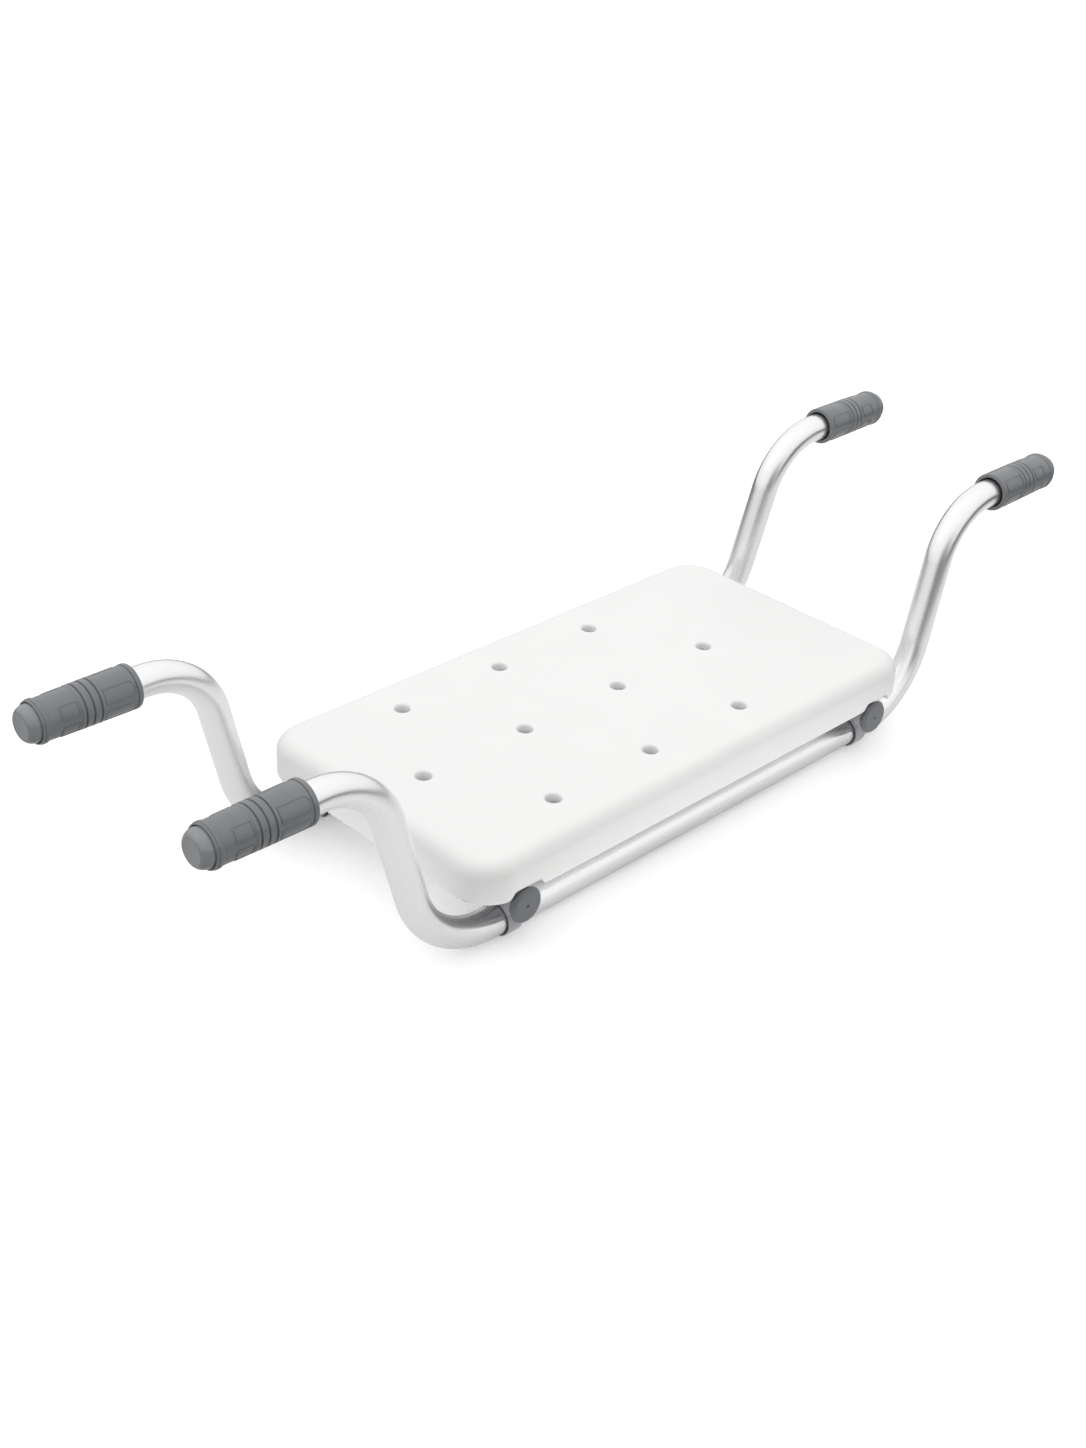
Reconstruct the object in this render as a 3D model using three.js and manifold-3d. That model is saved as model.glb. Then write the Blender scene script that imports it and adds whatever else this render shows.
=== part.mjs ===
// Bath seat: a moulded seat board on two bent tubes whose gripped ends rest on the rims of a bath.
// Lengths are in millimetres. X runs along the board, -Y is the front and +Z is up.
// The origin is on the ground under the middle of the seat.

import * as THREE from 'three';
import { mergeVertices } from 'three/addons/utils/BufferGeometryUtils.js';
import Module from 'manifold-3d';

const wasm = await Module();
wasm.setup();

// Fits: the clearance of a piece in or on its seat, and how far a cutter runs past a face
const fit = 0.3;
const overrun = 1;

// Facets round a turned piece and along a bend or a fillet
const tubeSides = 18;
const boreSides = 12;
const gripSides = 16;
const capSides = 20;
const holeSides = 14;
const boltSides = 8;
const bendSteps = 6;
const cornerSteps = 6;
const topRoundSteps = 4;
const bottomRoundSteps = 2;
const lipSteps = 2;
const domeSteps = 4;
const arcSteps = 5;

// Seat board
const boardLength = 417;
const boardDepth = 213;
const boardThickness = 28.8;
const boardCorner = 26;
const boardTopRound = 11;
const boardBottomRound = 3.5;

// Drain holes: rows of three, four and three, staggered, and set off towards one end
const drainRows = [3, 4, 3];
const drainPitch = 88.6;
const drainRowPitch = 71;
const drainShift = -29;
const drainThroat = 11.2;
const drainLip = 1.8;
const drainThroatDepth = 7;
const drainSocket = 22;

// Tubes: both lean towards each other, so that their grips stand closer than their lower runs
const tubeDiameter = 20;
const tubeWall = 1.5;
const tubeInset = 21;
const boardGap = 16.5;
const bendStart = 7.2;
const lowerBend = 62.5;
const upperBend = 52;
const riseAngle = THREE.MathUtils.degToRad(74.6);
const leanAngle = THREE.MathUtils.degToRad(2.3);
const gripRise = 142.4;
const gripStandoff = 7.2;

// Hand grips
const gripLength = 66;
const gripInnerDiameter = 27.2;
const gripOuterDiameter = 25.8;
const gripSlack = 0.5;
const gripMouth = 1;
const rimDiameter = 27.8;
const rimWidth = 3.4;
const rimRound = 1.4;
const rimTaper = 0.6;
const beadDiameter = 27.2;
const beadWidth = 4.4;
const beadRamp = 0.8;
const lipWidth = 1.7;
const lipStep = 0.4;
const bandHeight = 0.5;
const bandRamp = 0.8;
const grooveCount = 3;
const groovePitch = 5;
const grooveWidth = 1.2;
const grooveDepth = 0.9;

// End plugs
const plugDiameter = 23.4;
const plugSeat = 6.5;
const plugRise = 7;
const plugFace = 14.3;
const stemLength = 14;
const stemTip = 1.5;
const stemSlack = 0.6;

// Clamps
const clampInset = 36.4;
const clampLength = 11;
const clampWall = 1.2;
const footCut = 0.3;
const clampWeb = 6.2;
const earBevel = 1.2;
const bossDiameter = 21;
const splitWidth = 2.4;
const mouthDepth = 1.2;
const mouthFlare = 0.6;
const flangeReach = 22;
const flangeWidth = 28;
const flangeThickness = 3.2;
const flangeCorner = 5;
const gussetThickness = 2;
const gussetReach = 9;
const gussetDrop = 10;

// Caps over the clamp bolts, and the notches that they need in the board
const capDiameter = 24.4;
const capThickness = 5;
const capChamfer = 1.4;
const capCrown = 0.3;
const capProud = 0.3;
const capCavity = 12;
const capCavityDepth = 3.3;
const spigotWall = 1.8;
const spigotLength = 2;
const spigotRoom = 0.4;
const notchGap = 1.3;
const notchSideGap = 2.3;
const notchSlope = THREE.MathUtils.degToRad(45);
const notchEndGap = 1;

// Clamp bolts, nuts and seat screws
const boltDiameter = 4;
const boltHead = 8;
const boltHeadHeight = 2.8;
const boltTip = 0.6;
const boltPast = 1.5;
const nutFlats = 7;
const nutHeight = 3.2;
const screwDiameter = 4;
const screwHead = 8;
const screwHeadHeight = 2.4;
const screwDepth = 12;
const screwTip = 1.6;
const screwPitch = 16;
const screwReach = 14;

// Sizes and places that follow from those above
const tubeRadius = tubeDiameter / 2;
const tubeBore = tubeRadius - tubeWall;
const axisHeight = tubeRadius + fit + clampWall;
const ringRadius = axisHeight + footCut;
const tubeY = boardDepth / 2 - tubeInset;
const clampX = boardLength / 2 - clampInset;
const straightEnd = clampX + clampLength / 2 + bendStart;
const upperEnd = straightEnd + bendRun();
const gripX = upperEnd + gripStandoff;
const plugX = gripX + gripLength - plugSeat;
const tubeEnd = plugX - fit;
const boardRise = tubeRadius + boardGap;
const boltRise = tubeRadius + clampWeb + boltDiameter / 2;
const bossFace = tubeInset + capProud - capThickness - fit;
const notchRise = boltRise + capDiameter / 2 + notchGap;
const notchHeight = notchRise - boardRise;
const notchBottomHalf = capDiameter / 2 + notchSideGap;
const notchTopHalf = notchBottomHalf - notchHeight / Math.tan(notchSlope);
const spigotRadius = capCavity / 2 + spigotWall;
const spigotSeatDepth = spigotLength + spigotRoom;
const flangeTop = boardRise - fit;
const flangeBottom = flangeTop - flangeThickness;
const screwY = ringRadius + screwReach;

// Level distance from the start of a lower bend to the end of the upper one
function bendRun() {
  const drop = 1 - Math.cos(riseAngle);
  const straight = (gripRise - (lowerBend + upperBend) * drop) / Math.sin(riseAngle);
  return (lowerBend + upperBend) * Math.sin(riseAngle) + straight * Math.cos(riseAngle);
}

// A hole's radius whose flats stay clear of a round piece of the given radius
function clearRadius(radius, sides) {
  return (radius + fit) / Math.cos(Math.PI / sides);
}

// Points of a circle, as a polygon
function circle(radius, sides) {
  return Array.from({ length: sides }, (_, side) => {
    const angle = (2 * Math.PI * side) / sides;
    return new THREE.Vector2(radius * Math.cos(angle), radius * Math.sin(angle));
  });
}

// Points of an arc round a centre, both ends included
function arc(centreX, centreY, radiusX, radiusY, from, to, steps) {
  return Array.from({ length: steps + 1 }, (_, step) => {
    const angle = from + ((to - from) * step) / steps;
    return [centreX + radiusX * Math.cos(angle), centreY + radiusY * Math.sin(angle)];
  });
}

// A body turned from a profile of [radius, station] points, with its stations along a direction
function turned(profile, sides, direction) {
  const points = profile.map(([radius, station]) => new THREE.Vector2(radius, station));
  const geometry = new THREE.LatheGeometry(points, sides);
  const up = new THREE.Vector3(0, 1, 0);
  return geometry.applyQuaternion(new THREE.Quaternion().setFromUnitVectors(up, direction));
}

const alongX = new THREE.Vector3(1, 0, 0);
const forwards = new THREE.Vector3(0, -1, 0);
const upwards = new THREE.Vector3(0, 0, 1);
const downwards = new THREE.Vector3(0, 0, -1);

// Prisms of a flat outline, centred on their own length
function prism(outline, length) {
  const options = { depth: length, bevelEnabled: false, curveSegments: arcSteps };
  return new THREE.ExtrudeGeometry(outline, options).translate(0, 0, -length / 2);
}

function prismAlongX(outline, length) {
  const turn = new THREE.Matrix4().makeBasis(new THREE.Vector3(0, 1, 0), upwards, alongX);
  return prism(outline, length).applyMatrix4(turn);
}

function prismAlongY(outline, length) {
  return prism(outline, length).rotateX(Math.PI / 2);
}

function rod(radius, length, sides, direction) {
  const half = length / 2;
  return turned([[0, -half], [radius, -half], [radius, half], [0, half]], sides, direction);
}

// A solid for joining and cutting, from a closed geometry
function solid(geometry) {
  const bare = geometry.clone();
  bare.deleteAttribute('normal');
  bare.deleteAttribute('uv');
  const merged = mergeVertices(bare);
  const corners = merged.index.array;
  const triangles = [];
  for (let first = 0; first < corners.length; first += 3) {
    const [a, b, c] = corners.slice(first, first + 3);
    if (a !== b && b !== c && c !== a) triangles.push(a, b, c);
  }
  const vertProperties = Float32Array.from(merged.attributes.position.array);
  const triVerts = Uint32Array.from(triangles);
  return new wasm.Manifold(new wasm.Mesh({ numProp: 3, vertProperties, triVerts }));
}

function geometryOf(body) {
  const mesh = body.getMesh();
  const geometry = new THREE.BufferGeometry();
  geometry.setAttribute('position', new THREE.BufferAttribute(mesh.vertProperties, 3));
  geometry.setIndex(new THREE.BufferAttribute(mesh.triVerts, 1));
  geometry.computeVertexNormals();
  return geometry;
}

// A skin over a pile of rings with as many points each, closed flat below and above
function loft(rings) {
  const count = rings[0].length;
  const points = rings.flat();
  const faces = [];
  for (let level = 0; level < rings.length - 1; level += 1) {
    for (let here = 0; here < count; here += 1) {
      const next = (here + 1) % count;
      const low = level * count;
      const high = low + count;
      faces.push(low + here, low + next, high + next);
      faces.push(low + here, high + next, high + here);
    }
  }
  const top = points.length - count;
  for (let here = 1; here < count - 1; here += 1) {
    faces.push(0, here + 1, here);
    faces.push(top, top + here, top + here + 1);
  }
  const geometry = new THREE.BufferGeometry().setFromPoints(points);
  geometry.setIndex(faces);
  return geometry;
}

// Seat board: one moulded slab, soft round its top edge and tighter round its bottom edge
function boardRing(inset, height) {
  const radius = boardCorner - inset;
  const reachX = boardLength / 2 - boardCorner;
  const reachY = boardDepth / 2 - boardCorner;
  const quarters = [[1, 1], [-1, 1], [-1, -1], [1, -1]];
  return quarters.flatMap(([sideX, sideY], quarter) => {
    const from = (quarter * Math.PI) / 2;
    const to = from + Math.PI / 2;
    const points = arc(sideX * reachX, sideY * reachY, radius, radius, from, to, cornerSteps);
    return points.map(([x, y]) => new THREE.Vector3(x, y, height));
  });
}

function boardSlab() {
  const low = boardBottomRound;
  const high = boardTopRound;
  const highEdge = boardThickness - high;
  const bottom = arc(low, low, -low, -low, Math.PI / 2, 0, bottomRoundSteps);
  const top = arc(high, highEdge, -high, high, 0, Math.PI / 2, topRoundSteps);
  return loft([...bottom, ...top].map(([inset, height]) => boardRing(inset, height)));
}

// Each drain hole is a round-lipped throat over a cone that the mould presses up from below
function drainCutter() {
  const throat = drainThroat / 2;
  const lip = arc(throat + drainLip, -drainLip, -drainLip, drainLip, 0, Math.PI / 2, lipSteps);
  return turned([
    [0, -boardThickness - overrun],
    [drainSocket / 2, -boardThickness - overrun],
    [drainSocket / 2, -boardThickness],
    [throat, -drainThroatDepth],
    ...lip,
    [throat + drainLip, overrun],
    [0, overrun],
  ], holeSides, upwards);
}

function drainPlaces() {
  return drainRows.flatMap((count, row) => Array.from({ length: count }, (_, hole) => ({
    x: drainShift + (hole - (count - 1) / 2) * drainPitch,
    y: ((drainRows.length - 1) / 2 - row) * drainRowPitch,
  })));
}

// A notch lets a cap and its clamp's ears into the board's lower edge
function notchCutter() {
  const outline = new THREE.Shape([
    new THREE.Vector2(-notchBottomHalf - overrun / Math.tan(notchSlope), -overrun),
    new THREE.Vector2(notchBottomHalf + overrun / Math.tan(notchSlope), -overrun),
    new THREE.Vector2(notchTopHalf, notchHeight),
    new THREE.Vector2(-notchTopHalf, notchHeight),
  ]);
  const length = tubeInset + ringRadius + notchEndGap + overrun;
  return prismAlongY(outline, length).translate(0, length / 2 - tubeInset - overrun, 0);
}

function seatBoard() {
  let body = solid(boardSlab());
  const drain = drainCutter().translate(0, 0, boardThickness);
  for (const { x, y } of drainPlaces()) {
    body = body.subtract(solid(drain.clone().translate(x, y, 0)));
  }
  const pilotRadius = clearRadius(screwDiameter / 2, boltSides);
  const pilotDepth = screwDepth + overrun;
  const pilot = rod(pilotRadius, 2 * pilotDepth, boltSides, upwards);
  for (const side of [-1, 1]) {
    for (const end of [-1, 1]) {
      const notch = notchCutter().translate(end * clampX, -tubeY, 0);
      if (side > 0) notch.rotateZ(Math.PI);
      body = body.subtract(solid(notch));
      for (const hand of [-1, 1]) {
        const x = end * clampX + (hand * screwPitch) / 2;
        const y = side * (tubeY - screwY);
        body = body.subtract(solid(pilot.clone().translate(x, y, 0)));
      }
    }
  }
  return geometryOf(body);
}

// Tubes: bent four times in one plane
class BentPath extends THREE.Curve {
  constructor(stretches) {
    super();
    this.steps = stretches.flatMap(({ curve, count }) => Array.from({ length: count }, (_, step) => (
      { curve, from: step / count, share: 1 / count }
    )));
  }

  getPoint(station) {
    const place = station * this.steps.length;
    const index = Math.min(Math.floor(place), this.steps.length - 1);
    const { curve, from, share } = this.steps[index];
    const flat = curve.getPoint(from + share * (place - index));
    return new THREE.Vector3(flat.x, 0, flat.y);
  }

  getUtoTmapping(station) {
    return station;
  }
}

function bentTube() {
  const lowAngle = riseAngle - Math.PI / 2;
  const highAngle = riseAngle + Math.PI / 2;
  const lowRight = new THREE.ArcCurve(straightEnd, lowerBend, lowerBend, -Math.PI / 2, lowAngle, false);
  const high = gripRise - upperBend;
  const highRight = new THREE.ArcCurve(upperEnd, high, upperBend, highAngle, Math.PI / 2, true);
  const highLeft = new THREE.ArcCurve(-upperEnd, high, upperBend, Math.PI / 2, Math.PI - highAngle, true);
  const below = -Math.PI / 2;
  const lowLeft = new THREE.ArcCurve(-straightEnd, lowerBend, lowerBend, 2 * below - lowAngle, below, false);
  const line = (from, to) => new THREE.LineCurve(from, to);
  const path = new BentPath([
    { curve: line(new THREE.Vector2(-tubeEnd, gripRise), highLeft.getPoint(0)), count: 1 },
    { curve: highLeft, count: bendSteps },
    { curve: line(highLeft.getPoint(1), lowLeft.getPoint(0)), count: 1 },
    { curve: lowLeft, count: bendSteps },
    { curve: line(lowLeft.getPoint(1), lowRight.getPoint(0)), count: 1 },
    { curve: lowRight, count: bendSteps },
    { curve: line(lowRight.getPoint(1), highRight.getPoint(0)), count: 1 },
    { curve: highRight, count: bendSteps },
    { curve: line(highRight.getPoint(1), new THREE.Vector2(tubeEnd, gripRise)), count: 1 },
  ]);
  const section = new THREE.Shape(circle(tubeRadius, tubeSides));
  section.holes.push(new THREE.Path(circle(tubeBore, boreSides)));
  return new THREE.ExtrudeGeometry(section, { extrudePath: path, steps: path.steps.length });
}

// Hand grip: a soft sleeve, rimmed where the tube enters it, grooved in the middle and beaded outside
function handGrip() {
  const bore = clearRadius(tubeRadius, gripSides) + gripSlack - fit;
  const seat = clearRadius(plugDiameter / 2, gripSides);
  const slope = (gripOuterDiameter - gripInnerDiameter) / 2 / gripLength;
  const skin = (station) => gripInnerDiameter / 2 + slope * station;
  const rim = rimDiameter / 2;
  const bead = beadDiameter / 2;
  const beadStart = gripLength - beadWidth;
  const band = (station) => [skin(station) + bandHeight, station];
  const bandStart = (gripLength - grooveCount * groovePitch) / 2;
  const bandEnd = gripLength - bandStart;
  const grooves = Array.from({ length: grooveCount }, (_, groove) => {
    const middle = gripLength / 2 + (groove - (grooveCount - 1) / 2) * groovePitch;
    const bed = [skin(middle) + bandHeight - grooveDepth, middle];
    return [band(middle - grooveWidth / 2), bed, band(middle + grooveWidth / 2)];
  }).flat();
  const profile = [
    [bore, gripMouth * 2],
    [bore + gripMouth, 0],
    [rim - rimRound, 0],
    [rim, rimRound],
    [rim, rimWidth],
    [skin(rimWidth + rimTaper), rimWidth + rimTaper],
    [skin(bandStart - bandRamp), bandStart - bandRamp],
    band(bandStart),
    ...grooves,
    band(bandEnd),
    [skin(bandEnd + bandRamp), bandEnd + bandRamp],
    [skin(beadStart - beadRamp), beadStart - beadRamp],
    [bead, beadStart],
    [bead, gripLength - lipWidth],
    [bead - lipStep, gripLength - lipWidth],
    [bead - lipStep * 2, gripLength],
    [seat, gripLength],
    [seat, gripLength - plugSeat],
    [bore, gripLength - plugSeat],
  ];
  return turned([...profile, profile[0]], gripSides, alongX);
}

// End plug: a stem in the tube's bore, and a domed head with a flat face in the grip's open end
function endPlug() {
  const stem = tubeBore - stemSlack;
  const head = plugDiameter / 2;
  const face = plugFace / 2;
  const dome = arc(face, plugSeat, head - face, plugRise, 0, Math.PI / 2, domeSteps);
  return turned([
    [0, -stemLength],
    [stem - stemTip / 2, -stemLength],
    [stem, stemTip - stemLength],
    [stem, 0],
    [head, 0],
    ...dome,
    [0, plugSeat + plugRise],
  ], gripSides, alongX);
}

// Clamp: a split ring round the tube, two ears with the bolt across them, and a flange screwed to the board
function clampBlank() {
  const foot = Math.sqrt(ringRadius ** 2 - axisHeight ** 2);
  const footAngle = Math.asin(foot / ringRadius);
  const earTop = notchRise - fit;
  const side = new THREE.Shape();
  side.moveTo(-foot, -axisHeight);
  side.lineTo(foot, -axisHeight);
  side.absarc(0, 0, ringRadius, footAngle - Math.PI / 2, 0, false);
  side.lineTo(ringRadius, earTop);
  side.lineTo(-ringRadius, earTop);
  side.absarc(0, 0, ringRadius, Math.PI, (3 * Math.PI) / 2 - footAngle, false);
  const half = clampLength / 2;
  const front = new THREE.Shape([
    new THREE.Vector2(-half, -ringRadius),
    new THREE.Vector2(half, -ringRadius),
    new THREE.Vector2(half, earTop - earBevel),
    new THREE.Vector2(half - earBevel, earTop),
    new THREE.Vector2(earBevel - half, earTop),
    new THREE.Vector2(-half, earTop - earBevel),
  ]);
  const block = solid(prismAlongX(side, clampLength));
  return block.intersect(solid(prismAlongY(front, 2 * (ringRadius + overrun))));
}

function flangePlate() {
  const half = flangeWidth / 2;
  const root = ringRadius - overrun;
  const tip = ringRadius + flangeReach;
  const outline = new THREE.Shape();
  outline.moveTo(-half, root);
  outline.lineTo(half, root);
  outline.lineTo(half, tip - flangeCorner);
  outline.absarc(half - flangeCorner, tip - flangeCorner, flangeCorner, 0, Math.PI / 2, false);
  outline.absarc(flangeCorner - half, tip - flangeCorner, flangeCorner, Math.PI / 2, Math.PI, false);
  return prism(outline, flangeThickness).translate(0, 0, flangeTop - flangeThickness / 2);
}

function gusset(hand) {
  const root = ringRadius - overrun;
  const high = flangeBottom + flangeThickness / 2;
  const outline = new THREE.Shape([
    new THREE.Vector2(root, flangeBottom - gussetDrop),
    new THREE.Vector2(ringRadius, flangeBottom - gussetDrop),
    new THREE.Vector2(ringRadius + gussetReach, flangeBottom),
    new THREE.Vector2(ringRadius + gussetReach, high),
    new THREE.Vector2(root, high),
  ]);
  const x = (hand * (clampLength - gussetThickness)) / 2;
  return prismAlongX(outline, gussetThickness).translate(x, 0, 0);
}

function hexagon(flats) {
  return circle(flats / 2 / Math.cos(Math.PI / 6), 6);
}

function clampBody() {
  const bossLength = bossFace - ringRadius + overrun;
  const boss = rod(bossDiameter / 2, bossLength, capSides, forwards);
  let body = clampBlank().add(solid(boss.translate(0, bossLength / 2 - bossFace, boltRise)));
  body = body.add(solid(flangePlate()));
  for (const hand of [-1, 1]) body = body.add(solid(gusset(hand)));

  // Bore for the tube, with a flared mouth at each end, and the split over it
  const bore = clearRadius(tubeRadius, tubeSides);
  const half = clampLength / 2;
  body = body.subtract(solid(turned([
    [0, -half - overrun],
    [bore + mouthFlare, -half - overrun],
    [bore + mouthFlare, -half],
    [bore, mouthDepth - half],
    [bore, half - mouthDepth],
    [bore + mouthFlare, half],
    [bore + mouthFlare, half + overrun],
    [0, half + overrun],
  ], tubeSides, alongX)));
  const splitHeight = notchRise + overrun;
  const split = new THREE.BoxGeometry(clampLength + 2 * overrun, splitWidth, splitHeight);
  body = body.subtract(solid(split.translate(0, 0, splitHeight / 2)));

  // Round seat for the cap's spigot, hole for the bolt and six-sided pocket for the nut
  const seat = rod(clearRadius(spigotRadius, capSides), 2 * spigotSeatDepth, capSides, forwards);
  body = body.subtract(solid(seat.translate(0, -bossFace, boltRise)));
  const holeRadius = clearRadius(boltDiameter / 2, boltSides);
  const hole = rod(holeRadius, 2 * (bossFace + ringRadius), boltSides, forwards);
  body = body.subtract(solid(hole.translate(0, 0, boltRise)));
  const pocketDepth = nutHeight + fit;
  const pocket = prismAlongY(new THREE.Shape(hexagon(nutFlats + 2 * fit)), 2 * pocketDepth);
  body = body.subtract(solid(pocket.translate(0, ringRadius, boltRise)));

  // Holes for the seat screws
  const screwHole = rod(clearRadius(screwDiameter / 2, boltSides), 4 * flangeThickness, boltSides, upwards);
  for (const hand of [-1, 1]) {
    body = body.subtract(solid(screwHole.clone().translate((hand * screwPitch) / 2, screwY, flangeTop)));
  }
  return geometryOf(body);
}

// Cap: a chamfered disc with a spigot behind it and a cavity for the bolt's head
function boltCap() {
  const radius = capDiameter / 2;
  const cavity = capCavity / 2;
  return turned([
    [0, capCavityDepth],
    [cavity, capCavityDepth],
    [cavity, -spigotLength],
    [spigotRadius, -spigotLength],
    [spigotRadius, 0],
    [radius, 0],
    [radius, capThickness - capChamfer],
    [radius - capChamfer, capThickness],
    [0, capThickness + capCrown],
  ], capSides, forwards);
}

// Bolts and screws: stations run from the seat under the head
function fastener(radius, length, headRadius, headHeight, tip, direction) {
  const round = headHeight / 3;
  return turned([
    [0, -length],
    [radius - tip, -length],
    [radius, tip - length],
    [radius, 0],
    [headRadius, 0],
    [headRadius, headHeight - round],
    [headRadius - round, headHeight],
    [0, headHeight],
  ], boltSides, direction);
}

function clampNut() {
  const outline = new THREE.Shape(hexagon(nutFlats));
  outline.holes.push(new THREE.Path(circle(clearRadius(boltDiameter / 2, boltSides), boltSides)));
  return prismAlongY(outline, nutHeight);
}

// Finishes
const finish = (color, roughness, metalness) => ({ color, roughness, metalness });
const whitePlastic = finish(0xf4f4f3, 0.55, 0);
const satinAluminium = finish(0xc9cacb, 0.35, 1);
const greyRubber = finish(0x6f7276, 0.7, 0);
const greyPlastic = finish(0x6b6e72, 0.55, 0);
const zincSteel = finish(0xa9abad, 0.4, 1);

function piece(name, geometry, look) {
  const mesh = new THREE.Mesh(geometry, new THREE.MeshStandardMaterial(look));
  mesh.name = name;
  return mesh;
}

// Assembly
const group = new THREE.Group();

const board = piece('seat_board', seatBoard(), whitePlastic);
board.position.z = axisHeight + boardRise;
group.add(board);

const boltSeat = bossFace - spigotSeatDepth + fit;
const boltLength = boltSeat + ringRadius + boltPast;
for (const side of ['front', 'back']) {
  // Each tube leans in its upright clamps; the back side is the front one turned half round
  const frame = new THREE.Group();
  frame.position.set(0, side === 'front' ? -tubeY : tubeY, axisHeight);
  frame.rotation.z = side === 'front' ? 0 : Math.PI;
  group.add(frame);
  const leaning = new THREE.Group();
  leaning.rotation.x = -leanAngle;
  frame.add(leaning);
  leaning.add(piece(`${side}_tube`, bentTube(), satinAluminium));

  for (const end of ['left', 'right']) {
    const place = `${side}_${end}`;
    const towards = (end === 'right') === (side === 'front') ? 1 : -1;

    const clamp = new THREE.Group();
    clamp.position.x = towards * clampX;
    frame.add(clamp);
    clamp.add(piece(`${place}_clamp`, clampBody(), greyPlastic));

    const cap = piece(`${place}_cap`, boltCap(), greyPlastic);
    cap.position.set(0, -bossFace - fit, boltRise);
    const bolt = piece(`${place}_clamp_bolt`,
      fastener(boltDiameter / 2, boltLength, boltHead / 2, boltHeadHeight, boltTip, forwards), zincSteel);
    bolt.position.set(0, -boltSeat, boltRise);
    const nut = piece(`${place}_clamp_nut`, clampNut(), zincSteel);
    nut.position.set(0, ringRadius - nutHeight / 2, boltRise);
    clamp.add(cap, bolt, nut);

    for (const hand of ['a', 'b']) {
      const screw = piece(`${place}_seat_screw_${hand}`,
        fastener(screwDiameter / 2, screwDepth + flangeThickness, screwHead / 2, screwHeadHeight, screwTip,
          downwards), zincSteel);
      screw.position.set(((hand === 'a' ? -1 : 1) * screwPitch) / 2, screwY, flangeBottom - fit);
      clamp.add(screw);
    }

    // Grip and plug point outwards along the tube's end
    const handle = new THREE.Group();
    handle.position.z = gripRise;
    handle.rotation.z = towards > 0 ? 0 : Math.PI;
    leaning.add(handle);
    const grip = piece(`${place}_grip`, handGrip(), greyRubber);
    grip.position.x = gripX;
    const plug = piece(`${place}_end_plug`, endPlug(), greyRubber);
    plug.position.x = plugX;
    handle.add(grip, plug);
  }
}

export default group;
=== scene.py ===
import math

import bmesh
import bpy
from mathutils import Matrix, Vector


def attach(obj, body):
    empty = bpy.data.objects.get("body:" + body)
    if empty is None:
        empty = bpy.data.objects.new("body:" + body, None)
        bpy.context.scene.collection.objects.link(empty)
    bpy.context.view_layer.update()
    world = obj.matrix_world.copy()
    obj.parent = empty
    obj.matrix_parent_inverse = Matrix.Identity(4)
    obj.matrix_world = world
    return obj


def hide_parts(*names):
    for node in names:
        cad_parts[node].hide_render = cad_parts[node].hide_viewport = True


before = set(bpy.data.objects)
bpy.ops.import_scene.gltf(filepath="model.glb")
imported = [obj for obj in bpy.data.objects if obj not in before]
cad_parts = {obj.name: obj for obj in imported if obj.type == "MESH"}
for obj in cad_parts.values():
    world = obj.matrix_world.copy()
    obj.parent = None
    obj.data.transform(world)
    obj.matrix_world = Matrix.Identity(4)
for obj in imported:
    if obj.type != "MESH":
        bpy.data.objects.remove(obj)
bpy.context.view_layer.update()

mm = 0.001

# Seat board. One hollow slab of white polyethylene, blow-moulded, with a large soft radius round
# its top and a tight one below. Water runs off through ten lipped holes over pressed-up cones, and
# the lower edge is notched where the four clamps' caps come through.
board_length = 417 * mm
board_depth = 213 * mm
board_thickness = 28.8 * mm
board_underside = 38 * mm
board_corner = 26 * mm
board_top_round = 11 * mm
board_bottom_round = 3.5 * mm

drain_rows = (3, 4, 3)
drain_pitch = 88.6 * mm
drain_row_pitch = 71 * mm
drain_shift = -29 * mm
drain_throat = 5.3 * mm
drain_lip = 1.7 * mm
drain_waist = 4.2 * mm
drain_throat_depth = 7 * mm
drain_socket = 11 * mm
overrun = 1 * mm
weld_distance = 0.0005 * mm
sliver = 0.001 * mm
parallel = 0.999

axis_height = 11.5 * mm
tube_y = 85.5 * mm
clamp_x = 172.1 * mm
notch_bottom_half = 15.8 * mm
notch_top_half = 10.6 * mm
notch_height = 6.9 * mm
notch_depth = 33.8 * mm
notch_round = 1.4 * mm
screw_spacing = 16 * mm
screw_inset = 25.8 * mm
pilot_radius = 2.3 * mm
pilot_depth = 13 * mm


def spun(profile, steps):
    """A body turned round Z from (radius, station) points: axis to axis, or a closed ring."""
    shape = bmesh.new()
    points = [shape.verts.new((radius, 0, station)) for radius, station in profile]
    lines = [shape.edges.new(pair) for pair in zip(points, points[1:])]
    bmesh.ops.spin(
        shape, geom=points + lines, cent=(0, 0, 0), axis=(0, 0, 1), dvec=(0, 0, 0),
        angle=math.tau, steps=steps, use_merge=True, use_normal_flip=False, use_duplicate=False,
    )
    bmesh.ops.remove_doubles(shape, verts=shape.verts, dist=weld_distance)
    bmesh.ops.recalc_face_normals(shape, faces=shape.faces)
    return shape


def arc(centre, radii, start, end, steps):
    """Points of an arc in degrees, both ends included, for a profile."""
    turns = [math.radians(start + (end - start) * step / steps) for step in range(steps + 1)]
    return [
        (centre[0] + radii[0] * math.cos(turn), centre[1] + radii[1] * math.sin(turn))
        for turn in turns
    ]


def block(low, high):
    """A plain blank between two corners, for shaping and for cutting with."""
    shape = bmesh.new()
    middle = (Vector(low) + Vector(high)) / 2
    size = Vector(high) - Vector(low)
    bmesh.ops.create_cube(shape, size=1)
    bmesh.ops.scale(shape, vec=size, verts=shape.verts)
    bmesh.ops.translate(shape, vec=middle, verts=shape.verts)
    return shape


def rounded(shape, edges, radius, segments):
    bmesh.ops.bevel(
        shape, geom=list(edges), offset=radius, offset_type="OFFSET", affect="EDGES",
        segments=segments, profile=0.5, material=-1, clamp_overlap=True,
    )


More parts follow.
